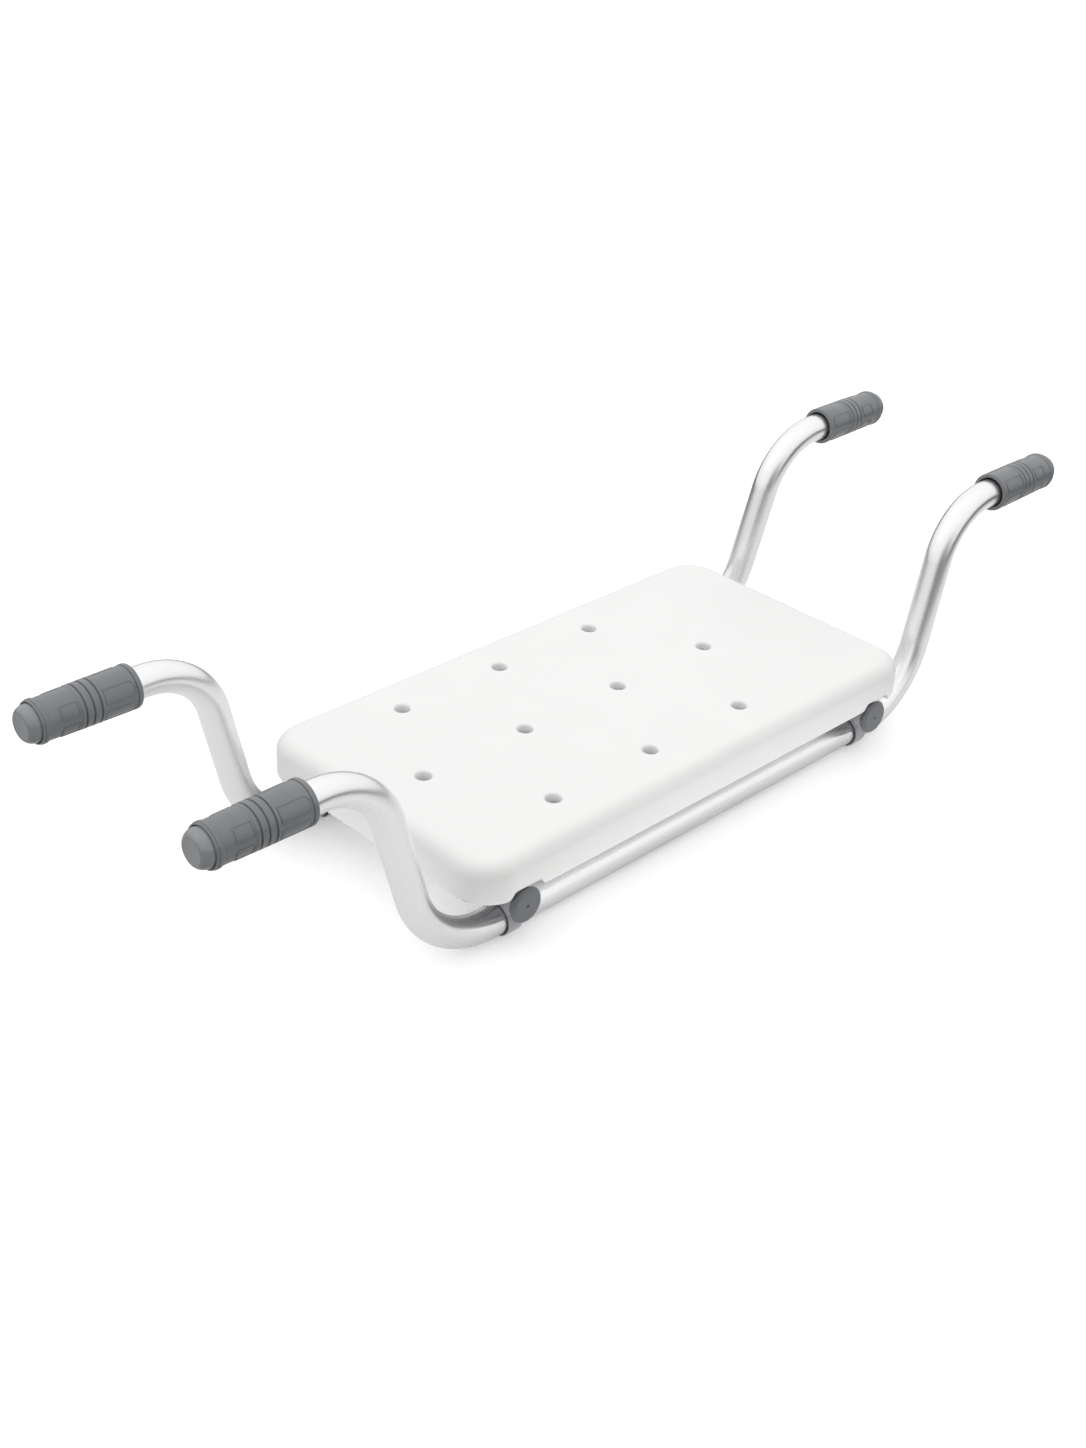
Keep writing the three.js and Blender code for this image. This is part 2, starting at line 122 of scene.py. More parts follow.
def edges_along(shape, axis):
    """The straight edges that run along an axis."""
    return [
        edge for edge in shape.edges
        if abs((edge.verts[0].co - edge.verts[1].co).normalized()[axis]) > parallel
    ]


def moved(shape, matrix):
    bmesh.ops.transform(shape, matrix=matrix, verts=shape.verts)
    return shape


def copied(shape, matrix=Matrix.Identity(4)):
    return moved(shape.copy(), matrix)


def worked(operation, body, tools):
    """Joins or cuts a body with other closed shapes, and uses them all up."""
    blanks = []
    for shape in [body, *tools]:
        mesh = bpy.data.meshes.new("blank")
        shape.to_mesh(mesh)
        shape.free()
        blanks.append(bpy.data.objects.new("blank", mesh))
        bpy.context.scene.collection.objects.link(blanks[-1])
    for blank in blanks[1:]:
        cut = blanks[0].modifiers.new("work", "BOOLEAN")
        cut.operation = operation
        cut.solver = "MANIFOLD"
        cut.object = blank
    result = bmesh.new()
    result.from_object(blanks[0], bpy.context.evaluated_depsgraph_get())
    for blank in blanks:
        mesh = blank.data
        bpy.data.objects.remove(blank)
        bpy.data.meshes.remove(mesh)
    bmesh.ops.remove_doubles(result, verts=result.verts, dist=sliver)
    bmesh.ops.dissolve_degenerate(result, edges=result.edges, dist=sliver)
    return result


def gathered(shapes):
    """One shape that holds several that don't touch."""
    whole = bmesh.new()
    for shape in shapes:
        mesh = bpy.data.meshes.new("blank")
        shape.to_mesh(mesh)
        shape.free()
        whole.from_mesh(mesh)
        bpy.data.meshes.remove(mesh)
    return whole


def fitted(name, shape, material, node, crease=35):
    """Makes a shape a piece of the seat, in the place of its solid."""
    mesh = bpy.data.meshes.new(name)
    shape.to_mesh(mesh)
    shape.free()
    mesh.materials.append(material)
    mesh.shade_smooth()
    mesh.set_sharp_from_angle(angle=math.radians(crease))
    piece = bpy.data.objects.new(name, mesh)
    bpy.context.scene.collection.objects.link(piece)
    shading = piece.modifiers.new("even shading", "WEIGHTED_NORMAL")
    shading.keep_sharp = True
    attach(piece, "root")
    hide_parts(node)
    return piece


def new_material(name):
    material = bpy.data.materials.new(name)
    material.use_nodes = True
    return material, material.node_tree.nodes, material.node_tree.links


def moulded_skin():
    """Node group: the fine grain, the slow unevenness and the rubbed tone of a moulded surface."""
    cloud_scale, cloud_detail = 22, 4
    tone_from, tone_to = 0.38, 0.66
    gloss_from, gloss_to = 0.3, 0.7
    grain_detail, grain_roughness, grain_distance = 3, 0.6, 0.08 * mm
    sink_scale, sink_detail, sink_distance = 14, 1, 0.6 * mm

    group = bpy.data.node_groups.new("moulded skin", "ShaderNodeTree")
    sockets = group.interface
    for name, kind, value in (
        ("Tone", "NodeSocketColor", (0.8, 0.8, 0.8, 1)),
        ("Rubbed Tone", "NodeSocketColor", (0.7, 0.7, 0.7, 1)),
        ("Smoothest", "NodeSocketFloat", 0.4),
        ("Roughest", "NodeSocketFloat", 0.6),
        ("Grain Scale", "NodeSocketFloat", 1500.0),
        ("Grain Height", "NodeSocketFloat", 0.3),
        ("Sink Height", "NodeSocketFloat", 0.1),
    ):
        socket = sockets.new_socket(name, in_out="INPUT", socket_type=kind)
        socket.default_value = value
    for name, kind in (("Color", "NodeSocketColor"), ("Roughness", "NodeSocketFloat"),
                       ("Normal", "NodeSocketVector")):
        sockets.new_socket(name, in_out="OUTPUT", socket_type=kind)
    nodes, links = group.nodes, group.links
    given = nodes.new("NodeGroupInput")
    result = nodes.new("NodeGroupOutput")
    place = nodes.new("ShaderNodeTexCoord").outputs["Object"]

    cloud = nodes.new("ShaderNodeTexNoise")
    cloud.inputs["Scale"].default_value = cloud_scale
    cloud.inputs["Detail"].default_value = cloud_detail
    links.new(place, cloud.inputs["Vector"])
    spread = nodes.new("ShaderNodeMapRange")
    spread.inputs["From Min"].default_value = tone_from
    spread.inputs["From Max"].default_value = tone_to
    links.new(cloud.outputs["Fac"], spread.inputs["Value"])
    tone = nodes.new("ShaderNodeMix")
    tone.data_type = "RGBA"
    links.new(spread.outputs["Result"], tone.inputs["Factor"])
    links.new(given.outputs["Tone"], tone.inputs["A"])
    links.new(given.outputs["Rubbed Tone"], tone.inputs["B"])
    links.new(tone.outputs["Result"], result.inputs["Color"])

    grain = nodes.new("ShaderNodeTexNoise")
    grain.inputs["Detail"].default_value = grain_detail
    grain.inputs["Roughness"].default_value = grain_roughness
    links.new(place, grain.inputs["Vector"])
    links.new(given.outputs["Grain Scale"], grain.inputs["Scale"])
    gloss = nodes.new("ShaderNodeMapRange")
    gloss.inputs["From Min"].default_value = gloss_from
    gloss.inputs["From Max"].default_value = gloss_to
    links.new(cloud.outputs["Fac"], gloss.inputs["Value"])
    links.new(given.outputs["Smoothest"], gloss.inputs["To Min"])
    links.new(given.outputs["Roughest"], gloss.inputs["To Max"])
    links.new(gloss.outputs["Result"], result.inputs["Roughness"])

    sink = nodes.new("ShaderNodeTexNoise")
    sink.inputs["Scale"].default_value = sink_scale
    sink.inputs["Detail"].default_value = sink_detail
    links.new(place, sink.inputs["Vector"])
    slow = nodes.new("ShaderNodeBump")
    slow.inputs["Distance"].default_value = sink_distance
    links.new(given.outputs["Sink Height"], slow.inputs["Strength"])
    links.new(sink.outputs["Fac"], slow.inputs["Height"])
    fine = nodes.new("ShaderNodeBump")
    fine.inputs["Distance"].default_value = grain_distance
    links.new(given.outputs["Grain Height"], fine.inputs["Strength"])
    links.new(grain.outputs["Fac"], fine.inputs["Height"])
    links.new(slow.outputs["Normal"], fine.inputs["Normal"])
    links.new(fine.outputs["Normal"], result.inputs["Normal"])
    return group


moulded = moulded_skin()


def moulded_material(name, tone, rubbed, smoothest, roughest, grain_scale, grain, sink):
    """A moulded plastic or rubber: tones are linear, and the grain's scale is per metre."""
    material, nodes, links = new_material(name)
    shader = nodes["Principled BSDF"]
    skin = nodes.new("ShaderNodeGroup")
    skin.node_tree = moulded
    skin.inputs["Tone"].default_value = (*tone, 1)
    skin.inputs["Rubbed Tone"].default_value = (*rubbed, 1)
    skin.inputs["Smoothest"].default_value = smoothest
    skin.inputs["Roughest"].default_value = roughest
    skin.inputs["Grain Scale"].default_value = grain_scale
    skin.inputs["Grain Height"].default_value = grain
    skin.inputs["Sink Height"].default_value = sink
    links.new(skin.outputs["Color"], shader.inputs["Base Color"])
    links.new(skin.outputs["Roughness"], shader.inputs["Roughness"])
    links.new(skin.outputs["Normal"], shader.inputs["Normal"])
    return material


board_plastic = moulded_material(
    "white polyethylene", tone=(0.79, 0.788, 0.782), rubbed=(0.78, 0.778, 0.772),
    smoothest=0.40, roughest=0.50, grain_scale=1400, grain=0.25, sink=0.1,
)

slab = block(
    (-board_length / 2, -board_depth / 2, 0), (board_length / 2, board_depth / 2, board_thickness),
)
rounded(slab, edges_along(slab, 2), board_corner, segments=20)
upper = max(slab.faces, key=lambda face: face.calc_center_median().z)
rounded(slab, upper.edges, board_top_round, segments=12)
lower = min(slab.faces, key=lambda face: face.calc_center_median().z)
rounded(slab, lower.edges, board_bottom_round, segments=6)

drain = spun([
    (0, -board_thickness - overrun),
    (drain_socket, -board_thickness - overrun),
    (drain_socket, -board_thickness),
    (drain_waist, -drain_throat_depth),
    *arc((drain_throat + drain_lip, -drain_lip), (-drain_lip, drain_lip), 0, 90, steps=8),
    (drain_throat + drain_lip, overrun),
    (0, overrun),
], steps=48)
drains = []
for row, count in enumerate(drain_rows):
    for hole in range(count):
        x = drain_shift + (hole - (count - 1) / 2) * drain_pitch
        y = ((len(drain_rows) - 1) / 2 - row) * drain_row_pitch
        drains.append(copied(drain, Matrix.Translation((x, y, board_thickness))))
drain.free()

notch = block(
    (-notch_bottom_half, -board_depth / 2 - overrun, -overrun),
    (notch_bottom_half, notch_depth - board_depth / 2, notch_height),
)
slope = notch_bottom_half + overrun
for corner in notch.verts:
    side = math.copysign(1, corner.co.x)
    corner.co.x = side * (notch_top_half if corner.co.z > 0 else slope)
notch_edges = [edge for edge in edges_along(notch, 1) if edge.verts[0].co.z > 0]
rounded(notch, notch_edges, notch_round, segments=5)
pilot = spun([
    (0, -pilot_depth), (pilot_radius, -pilot_depth), (pilot_radius, pilot_depth), (0, pilot_depth),
], steps=16)
half_turn = Matrix.Rotation(math.pi, 4, "Z")
notches = []
for side in (Matrix.Identity(4), half_turn):
    for end in (-1, 1):
        notches.append(copied(notch, side @ Matrix.Translation((end * clamp_x, 0, 0))))
        for hand in (-0.5, 0.5):
            place = (end * clamp_x + hand * screw_spacing, screw_inset - tube_y, 0)
            notches.append(copied(pilot, side @ Matrix.Translation(place)))
notch.free()
pilot.free()
slab = worked("DIFFERENCE", slab, [gathered(drains), gathered(notches)])
moved(slab, Matrix.Translation((0, 0, board_underside)))
fitted("seat_board_moulding", slab, board_plastic, "seat_board", crease=40)

# Tubes. Satin anodised aluminium, 20 mm across with a 1.5 mm wall, cold bent four times in one
# plane. They lie in the clamps under the board, and lean in so that the grips stand closer.
tube_radius = 10 * mm
tube_wall = 1.5 * mm
straight_end = 184.8 * mm
lower_bend = 62.5 * mm
upper_bend = 52 * mm
rise_angle = math.radians(74.6)
lean_angle = math.radians(2.3)
grip_rise = 142.4 * mm
grip_x = 318.45 * mm
grip_length = 66 * mm
plug_seat = 6.5 * mm
clearance = 0.3 * mm
tube_sides = 56
upper_steps = 20
lower_steps = 22

tube_tone = (0.84, 0.84, 0.845)
line_stretch = (900, 900, 9)
line_detail = 4
line_strength = 0.012
line_distance = 0.05 * mm
frost_scale = 2600
frost_detail = 2
frost_strength = 0.03
frost_distance = 0.03 * mm
satin_from = 0.3
satin_to = 0.7
satin_smoothest = 0.26
satin_roughest = 0.32

tube_end = grip_x + grip_length - plug_seat - clearance
drop = 1 - math.cos(rise_angle)
upright = (grip_rise - (lower_bend + upper_bend) * drop) / math.sin(rise_angle)
level = (lower_bend + upper_bend) * math.sin(rise_angle) + upright * math.cos(rise_angle)
upper_end = straight_end + level

front = Matrix.Translation((0, -tube_y, axis_height))
back = Matrix.Translation((0, tube_y, axis_height)) @ half_turn
lean = Matrix.Rotation(-lean_angle, 4, "X")

aluminium, nodes, links = new_material("satin anodised aluminium")
metal = nodes["Principled BSDF"]
metal.inputs["Metallic"].default_value = 1
metal.inputs["Base Color"].default_value = (*tube_tone, 1)
drawn = nodes.new("ShaderNodeAttribute")
drawn.attribute_name = "drawn"
stretch = nodes.new("ShaderNodeMapping")
stretch.inputs["Scale"].default_value = line_stretch
links.new(drawn.outputs["Vector"], stretch.inputs["Vector"])
streaks = nodes.new("ShaderNodeTexNoise")
streaks.inputs["Scale"].default_value = 1
streaks.inputs["Detail"].default_value = line_detail
links.new(stretch.outputs["Vector"], streaks.inputs["Vector"])
etch = nodes.new("ShaderNodeTexNoise")
etch.inputs["Scale"].default_value = frost_scale
etch.inputs["Detail"].default_value = frost_detail
links.new(nodes.new("ShaderNodeTexCoord").outputs["Object"], etch.inputs["Vector"])
satin = nodes.new("ShaderNodeMapRange")
satin.inputs["From Min"].default_value = satin_from
satin.inputs["From Max"].default_value = satin_to
satin.inputs["To Min"].default_value = satin_smoothest
satin.inputs["To Max"].default_value = satin_roughest
links.new(streaks.outputs["Fac"], satin.inputs["Value"])
links.new(satin.outputs["Result"], metal.inputs["Roughness"])
lines = nodes.new("ShaderNodeBump")
lines.inputs["Strength"].default_value = line_strength
lines.inputs["Distance"].default_value = line_distance
links.new(streaks.outputs["Fac"], lines.inputs["Height"])
frost = nodes.new("ShaderNodeBump")
frost.inputs["Strength"].default_value = frost_strength
frost.inputs["Distance"].default_value = frost_distance
links.new(etch.outputs["Fac"], frost.inputs["Height"])
links.new(lines.outputs["Normal"], frost.inputs["Normal"])
links.new(frost.outputs["Normal"], metal.inputs["Normal"])


def bent_tube():
    """The tube's outside, drawn along its bends; each point notes its place round and along it."""
    shape = bmesh.new()
    drawn_layer = shape.verts.layers.float_vector.new("drawn")
    bmesh.ops.create_circle(shape, cap_ends=False, segments=tube_sides, radius=tube_radius)
    for point in shape.verts:
        point[drawn_layer] = (*point.co.xy, 0)
    bmesh.ops.rotate(
        shape, cent=(0, 0, 0), matrix=Matrix.Rotation(math.pi / 2, 3, "Y"), verts=shape.verts,
    )
    bmesh.ops.translate(shape, vec=(-tube_end, 0, grip_rise), verts=shape.verts)
    ring = list(shape.edges)
    at = Vector((-tube_end, 0, grip_rise))
    heading = 0
    along = 0

    def drawn_on(matrix, centre, advance):
        nonlocal ring, along
        made = bmesh.ops.extrude_edge_only(shape, edges=ring)["geom"]
        ring = [item for item in made if isinstance(item, bmesh.types.BMEdge)
                and all(point in made for point in item.verts)]
        points = {point for edge in ring for point in edge.verts}
        around = Matrix.Translation(centre) @ matrix @ Matrix.Translation(-centre)
        bmesh.ops.transform(shape, matrix=around, verts=list(points))
        along += advance
        for point in points:
            point[drawn_layer] = (*point[drawn_layer].xy, along)

    def straight(length):
        nonlocal at
        step = Vector((math.cos(heading), 0, math.sin(heading))) * length
        drawn_on(Matrix.Translation(step), Vector((0, 0, 0)), length)
        at = at + step

    def bend(radius, turn, steps):
        nonlocal at, heading
        normal = Vector((-math.sin(heading), 0, math.cos(heading))) * math.copysign(1, turn)
        centre = at + normal * radius
        for _ in range(steps):
            drawn_on(Matrix.Rotation(-turn / steps, 4, "Y"), centre, radius * abs(turn) / steps)
        at = centre + Matrix.Rotation(-turn, 3, "Y") @ (at - centre)
        heading += turn

    straight(tube_end - upper_end)
    bend(upper_bend, -rise_angle, upper_steps)
    straight(upright)
    bend(lower_bend, rise_angle, lower_steps)
    straight(2 * straight_end)
    bend(lower_bend, rise_angle, lower_steps)
    straight(upright)
    bend(upper_bend, -rise_angle, upper_steps)
    straight(tube_end - upper_end)
    bmesh.ops.recalc_face_normals(shape, faces=shape.faces)
    return shape


for side, matrix in (("front", front), ("back", back)):
    tube = bent_tube()
    moved(tube, matrix @ lean)
    drawn_tube = fitted(f"{side}_drawn_tube", tube, aluminium, f"{side}_tube")
    wall = drawn_tube.modifiers.new("wall", "SOLIDIFY")
    wall.thickness = tube_wall
    wall.offset = -1

# Hand grips. Sleeves of dark grey soft rubber, moulded and pushed over the tubes' level ends. Each
# has a grooved rim where the tube goes in, a raised band with three grooves in the middle, thin
# raised outlines on its sides, and ends in a stepped bead round the plug.
grip_inner = 13.6 * mm
grip_outer = 12.9 * mm
grip_bore = 10.5 * mm
grip_mouth = 1 * mm
rim_radius = 13.9 * mm
rim_round = 1.4 * mm
rim_width = 3.4 * mm
rim_step = 0.25 * mm
rim_groove = 0.4 * mm
rim_ramp = 1 * mm
bead_radius = 13.6 * mm
bead_width = 4.4 * mm
bead_lip = 1.7 * mm
bead_step = 0.45 * mm
bead_foot = 0.5 * mm
edge_ease = 0.1 * mm
plug_radius = 11.7 * mm
band_height = 0.45 * mm
band_ramp = 0.5 * mm
groove_pitch = 5 * mm
groove_half = 0.6 * mm
groove_depth = 1 * mm
groove_bed = 0.3 * mm
pad_line = 0.6 * mm
pad_longest_edge = 3 * mm
pad_height = 0.35 * mm
pad_sink = 0.4 * mm
pad_turn = 60
pad_corner = 0.5 * mm
inner_pad_far = 21 * mm
inner_pad_near = 0.6 * mm
inner_pad_half = 5 * mm
inner_pad_round = 4.6 * mm
outer_pad_near = 1.2 * mm
outer_pad_far = 13 * mm
outer_pad_half = 4.6 * mm
outer_pad_round = 1.2 * mm

grip_rubber = moulded_material(
    "dark grey soft rubber", tone=(0.19, 0.197, 0.207), rubbed=(0.17, 0.177, 0.187),
    smoothest=0.28, roughest=0.40, grain_scale=2200, grain=0.3, sink=0.04,
)


def grip_skin(station):
    return grip_inner + (grip_outer - grip_inner) * station / grip_length


def wrapped_outline(low, high, half_width, round_start, round_end):
    """A thin raised outline on the sleeve, from one station to another, rounded at its ends."""
    shape = bmesh.new()
    corners = [(low, -half_width), (high, -half_width), (high, half_width), (low, half_width)]
    points = [shape.verts.new((x, y, 0)) for x, y in corners]
    shape.faces.new(points)
    for station, radius in ((low, round_start), (high, round_end)):
        ends = [point for point in shape.verts if abs(point.co.x - station) < weld_distance]
        bmesh.ops.bevel(
            shape, geom=ends, offset=radius, offset_type="OFFSET", affect="VERTICES",
            segments=8, profile=0.5, material=-1,
        )
    shape.faces.ensure_lookup_table()
    inner = shape.faces[0]
    bmesh.ops.inset_individual(shape, faces=[inner], thickness=pad_line, depth=0)
    bmesh.ops.delete(shape, geom=[inner], context="FACES_ONLY")
    long_edges = [edge for edge in shape.edges if edge.calc_length() > pad_longest_edge]
    bmesh.ops.subdivide_edges(shape, edges=long_edges, cuts=6, use_grid_fill=True)
    strip = bmesh.ops.extrude_face_region(shape, geom=list(shape.faces))["geom"]
    raised = [item for item in strip if isinstance(item, bmesh.types.BMVert)]
    bmesh.ops.translate(shape, vec=(0, 0, pad_height + pad_sink), verts=raised)
    bmesh.ops.recalc_face_normals(shape, faces=shape.faces)
    for point in shape.verts:
        station, across, height = point.co
        radius = grip_skin(station) - pad_sink + height
        turn = across / grip_skin(station)
        point.co = (radius * math.sin(turn), radius * math.cos(turn), station)
    return shape


middle = grip_length / 2
band_start = middle - 1.5 * groove_pitch
band_end = middle + 1.5 * groove_pitch


def band(station, depth=0):
    return (grip_skin(station) + band_height - depth, station)


grooves = []
for groove in (-1, 0, 1):
    bed = middle + groove * groove_pitch
    grooves += [
        band(bed - groove_half - 1.5 * edge_ease), band(bed - groove_half, 1.2 * edge_ease),
        band(bed - groove_bed, groove_depth), band(bed + groove_bed, groove_depth),
        band(bed + groove_half, 1.2 * edge_ease), band(bed + groove_half + 1.5 * edge_ease),
    ]
bead_start = grip_length - bead_width
sleeve_profile = [
    (grip_bore, 2 * grip_mouth),
    (grip_bore + grip_mouth, 0),
    *arc((rim_radius - rim_round, rim_round), (rim_round, rim_round), -90, 0, steps=8),
    (rim_radius, rim_width - rim_step),
    (rim_radius - 0.8 * edge_ease, rim_width),
    (grip_skin(rim_width) - rim_groove, rim_width + rim_step),
    (grip_skin(rim_width + rim_ramp), rim_width + rim_ramp),
    (grip_skin(band_start - band_ramp), band_start - band_ramp),
    band(band_start - edge_ease, 0.6 * edge_ease),
    band(band_start + 2 * edge_ease),
    *grooves,
    band(band_end - 2 * edge_ease),
    band(band_end + edge_ease, 0.6 * edge_ease),
    (grip_skin(band_end + band_ramp), band_end + band_ramp),
    (grip_skin(bead_start - bead_foot), bead_start - bead_foot),
    (bead_radius - 2 * edge_ease, bead_start),
    (bead_radius, bead_start + 3.5 * edge_ease),
    (bead_radius, grip_length - bead_lip - 3 * edge_ease),
    (bead_radius - 1.5 * edge_ease, grip_length - bead_lip - edge_ease / 2),
    (bead_radius - bead_step, grip_length - bead_lip),
    (bead_radius - bead_step, grip_length - 5 * edge_ease),
    (bead_radius - bead_step - 1.5 * edge_ease, grip_length - 1.2 * edge_ease),
    (plug_radius + clearance + 3 * edge_ease, grip_length),
    (plug_radius + clearance, grip_length - 3 * edge_ease),
    (plug_radius + clearance, grip_length - plug_seat),
    (grip_bore, grip_length - plug_seat),
]
sleeve = spun([*sleeve_profile, sleeve_profile[0]], steps=72)
pads = []
for turn in (pad_turn, 180 - pad_turn, 180 + pad_turn, -pad_turn):
    around = Matrix.Rotation(math.radians(turn + 90), 4, "Z")
    inner_pad = wrapped_outline(
        band_start - inner_pad_far, band_start - inner_pad_near, inner_pad_half,
        round_start=inner_pad_round, round_end=pad_corner,
    )
    outer_pad = wrapped_outline(
        band_end + outer_pad_near, band_end + outer_pad_far, outer_pad_half,
        round_start=pad_corner, round_end=outer_pad_round,
    )
    pads += [moved(inner_pad, around), moved(outer_pad, around)]
sleeve = worked("UNION", sleeve, [gathered(pads)])
moved(sleeve, Matrix.Rotation(math.pi / 2, 4, "Y"))

# End plugs. Domed stoppers of a slightly lighter grey rubber, moulded and pressed into the tubes'
# ends, with a flat face and a dark gap between their shoulder and the grip's bead.
plug_rise = 7 * mm
plug_face = 7.15 * mm
plug_stem = 7.9 * mm
stem_length = 14 * mm
stem_tip = 1.5 * mm

plug_rubber = moulded_material(
    "dark grey plug rubber", tone=(0.26, 0.267, 0.275), rubbed=(0.24, 0.247, 0.255),
    smoothest=0.20, roughest=0.28, grain_scale=2600, grain=0.15, sink=0.03,
)
plug = spun([
    (0, -stem_length),
    (plug_stem - stem_tip / 2, -stem_length),
    (plug_stem, stem_tip - stem_length),
    (plug_stem, 0),
    (plug_radius, 0),
    *arc((plug_face, plug_seat), (plug_radius - plug_face, plug_rise), 0, 82, steps=14),
    (plug_face, plug_seat + plug_rise - edge_ease),
    (plug_face - 4 * edge_ease, plug_seat + plug_rise - 2.5 * edge_ease),
    (0, plug_seat + plug_rise - 2 * edge_ease),
], steps=64)
moved(plug, Matrix.Rotation(math.pi / 2, 4, "Y"))

places = {}
for side, matrix in (("front", front), ("back", back)):
    for end in ("left", "right"):
        towards = 1 if (end == "right") == (side == "front") else -1
        places[f"{side}_{end}"] = (matrix, towards)

for place, (matrix, towards) in places.items():
    handle = matrix @ lean @ Matrix.Translation((0, 0, grip_rise))
    if towards < 0:
        handle = handle @ half_turn
    sleeve_place = handle @ Matrix.Translation((grip_x, 0, 0))
    plug_place = handle @ Matrix.Translation((grip_x + grip_length - plug_seat, 0, 0))
    fitted(f"{place}_grip_sleeve", copied(sleeve, sleeve_place), grip_rubber,
           f"{place}_grip")
    fitted(f"{place}_grip_plug", copied(plug, plug_place), plug_rubber,
           f"{place}_end_plug")
sleeve.free()
plug.free()

# Clamps. Split rings of grey glass-filled nylon round the tubes, each drawn shut by a bolt across
# its two ears, and screwed up to the board by a flange with two ribs under it.
clamp_length = 11 * mm
ring_radius = 11.8 * mm
clamp_bore = 10.3 * mm
mouth_flare = 0.9 * mm
mouth_depth = 2 * mm
ear_top = 31.4 * mm
bolt_rise = 18.2 * mm
boss_radius = 10.5 * mm
ear_round = 1.2 * mm
split_width = 2.4 * mm
boss_face = 16 * mm
spigot_seat = 8.1 * mm
spigot_seat_depth = 2.4 * mm
flange_top = 26.2 * mm
flange_thickness = 3.2 * mm
flange_half = 14 * mm
flange_tip = 33.8 * mm
flange_corner = 5 * mm
gusset_thickness = 2 * mm
gusset_reach = 9 * mm
gusset_drop = 10 * mm
bolt_hole = 2.35 * mm
nut_pocket = 3.8 * mm
nut_height = 3.2 * mm

clamp_nylon = moulded_material(
    "mid grey nylon", tone=(0.27, 0.275, 0.285), rubbed=(0.24, 0.245, 0.255),
    smoothest=0.26, roughest=0.36, grain_scale=1800, grain=0.25, sink=0.05,
)


def rod(radius, low, high, steps, matrix):
    return moved(spun([(0, low), (radius, low), (radius, high), (0, high)], steps), matrix)


def hexagon(half_flats, low, high, matrix):
    return rod(half_flats / math.cos(math.pi / 6), low, high, 6, matrix)


along_x = Matrix.Rotation(math.pi / 2, 4, "Y")
forwards = Matrix.Rotation(math.pi / 2, 4, "X")
across = Matrix.Translation((0, 0, bolt_rise)) @ forwards
half = clamp_length / 2

body = rod(ring_radius, -half, half, 64, along_x)
ears = block((-half, -ring_radius, 0), (half, ring_radius, ear_top))
ear_edges = [edge for edge in edges_along(ears, 1) if edge.verts[0].co.z > 0]
rounded(ears, ear_edges, ear_round, segments=3)
boss = rod(boss_radius, ring_radius - overrun, boss_face, 64, across)
plate = block(
    (-flange_half, ring_radius - overrun, flange_top - flange_thickness),
    (flange_half, flange_tip, flange_top),
)
tip_edges = [edge for edge in edges_along(plate, 2) if edge.verts[0].co.y > ring_radius]
rounded(plate, tip_edges, flange_corner, segments=8)
joined = [ears, boss, plate]
for hand in (-1, 1):
    outer = hand * half
    inner = hand * (half - gusset_thickness)
    rib = block(
        (min(outer, inner), ring_radius - overrun, flange_top - flange_thickness - gusset_drop),
        (max(outer, inner), ring_radius + gusset_reach, flange_top - flange_thickness / 2),
    )
    for corner in rib.verts:
        if corner.co.y > ring_radius and corner.co.z < flange_top - flange_thickness:
            corner.co.z = flange_top - flange_thickness
    joined.append(rib)
body = worked("UNION", body, joined)

bore = moved(spun([
    (0, -half - overrun),
    (clamp_bore + mouth_flare, -half - overrun),
    (clamp_bore + mouth_flare, -half),
    (clamp_bore, mouth_depth - half),
    (clamp_bore, half - mouth_depth),
    (clamp_bore + mouth_flare, half),
    (clamp_bore + mouth_flare, half + overrun),
    (0, half + overrun),
], steps=64), along_x)
split = block(
    (-half - overrun, -split_width / 2, 0), (half + overrun, split_width / 2, ear_top + overrun),
)
foot = block(
    (-half - overrun, -ring_radius, -ring_radius - overrun),
    (half + overrun, ring_radius, -axis_height),
)
seat = rod(spigot_seat, boss_face - spigot_seat_depth, boss_face + overrun, 48, across)
hole = rod(bolt_hole, -ring_radius - overrun, boss_face, 24, across)
pocket = hexagon(
    nut_pocket, -ring_radius - overrun, -ring_radius + nut_height + clearance, across,
)
cuts = [bore, split, foot, seat, hole, pocket]
for hand in (-0.5, 0.5):
    screw_at = Matrix.Translation((hand * screw_spacing, screw_inset, flange_top))
    cuts.append(rod(pilot_radius, -2 * flange_thickness, 2 * flange_thickness, 20, screw_at))
for tool in cuts:
    body = worked("DIFFERENCE", body, [tool])

for place, (matrix, towards) in places.items():
    at = matrix @ Matrix.Translation((towards * clamp_x, 0, 0))
    fitted(f"{place}_clamp_body", copied(body, at), clamp_nylon, f"{place}_clamp",
           crease=30)
body.free()

# Bolt caps. Moulded dark plastic discs with a chamfer, which snap into the clamps' bosses and hide
# the bolts' heads. The sprue leaves a small sunk mark in a low ring in the middle of each face.
cap_radius = 12.2 * mm
cap_thickness = 5 * mm
cap_chamfer = 1.4 * mm
cap_crown = 0.1 * mm
cap_rim = 2.6 * mm
cap_undercut = 1.8 * mm
cap_cavity = 6 * mm
cap_cavity_depth = 3.3 * mm
spigot_radius = 7.8 * mm
spigot_length = 2 * mm
mark_radius = 0.9 * mm
mark_depth = 1.1 * mm
mark_ring = 1 * mm
mark_ring_height = 0.15 * mm

